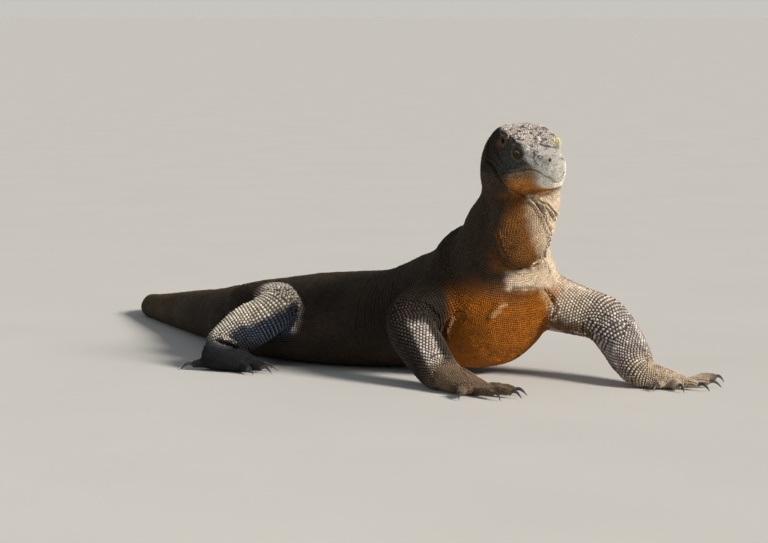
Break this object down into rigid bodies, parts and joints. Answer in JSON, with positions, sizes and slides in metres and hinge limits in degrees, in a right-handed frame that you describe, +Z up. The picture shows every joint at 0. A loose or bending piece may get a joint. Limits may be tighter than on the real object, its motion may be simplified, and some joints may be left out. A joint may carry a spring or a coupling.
{
  "type": "komodo dragon",
  "caption": "Life-size still model of a Komodo dragon resting on its belly, propped on its forelegs with neck raised, head turned to its left and tail hooked round.",
  "frame": {"origin": "on the floor, under the middle of the model's box", "axes": "+Z up; the chest faces -Y and the animal's left side is +X"},
  "size_m": [1.1278, 1.4192, 0.462],
  "materials": {
    "hide": "matt beaded scales",
    "eye": "wet gloss",
    "claw_horn": "satin horn"
  },
  "bodies": {
    "root": {"head": "hide", "neck": "hide", "chest": "hide", "belly": "hide", "tail_base": "hide", "tail_middle": "hide", "tail_bend": "hide", "tail_tip": "hide", "upper_arm_R": "hide", "forearm_R": "hide", "hand_R": "hide", "thigh_R": "hide", "shank_R": "hide", "foot_R": "hide", "upper_arm_L": "hide", "forearm_L": "hide", "hand_L": "hide", "thigh_L": "hide", "shank_L": "hide", "foot_L": "hide", "eye_L": "eye", "eye_R": "eye", "claw_hand_R_1": "claw_horn", "claw_hand_R_2": "claw_horn", "claw_hand_R_3": "claw_horn", "claw_hand_R_4": "claw_horn", "claw_hand_R_5": "claw_horn", "claw_hand_L_1": "claw_horn", "claw_hand_L_2": "claw_horn", "claw_hand_L_3": "claw_horn", "claw_hand_L_4": "claw_horn", "claw_hand_L_5": "claw_horn", "claw_foot_R_1": "claw_horn", "claw_foot_R_2": "claw_horn", "claw_foot_R_3": "claw_horn", "claw_foot_R_4": "claw_horn", "claw_foot_R_5": "claw_horn", "claw_foot_L_1": "claw_horn", "claw_foot_L_2": "claw_horn", "claw_foot_L_3": "claw_horn", "claw_foot_L_4": "claw_horn", "claw_foot_L_5": "claw_horn"}
  },
  "joints": []
}
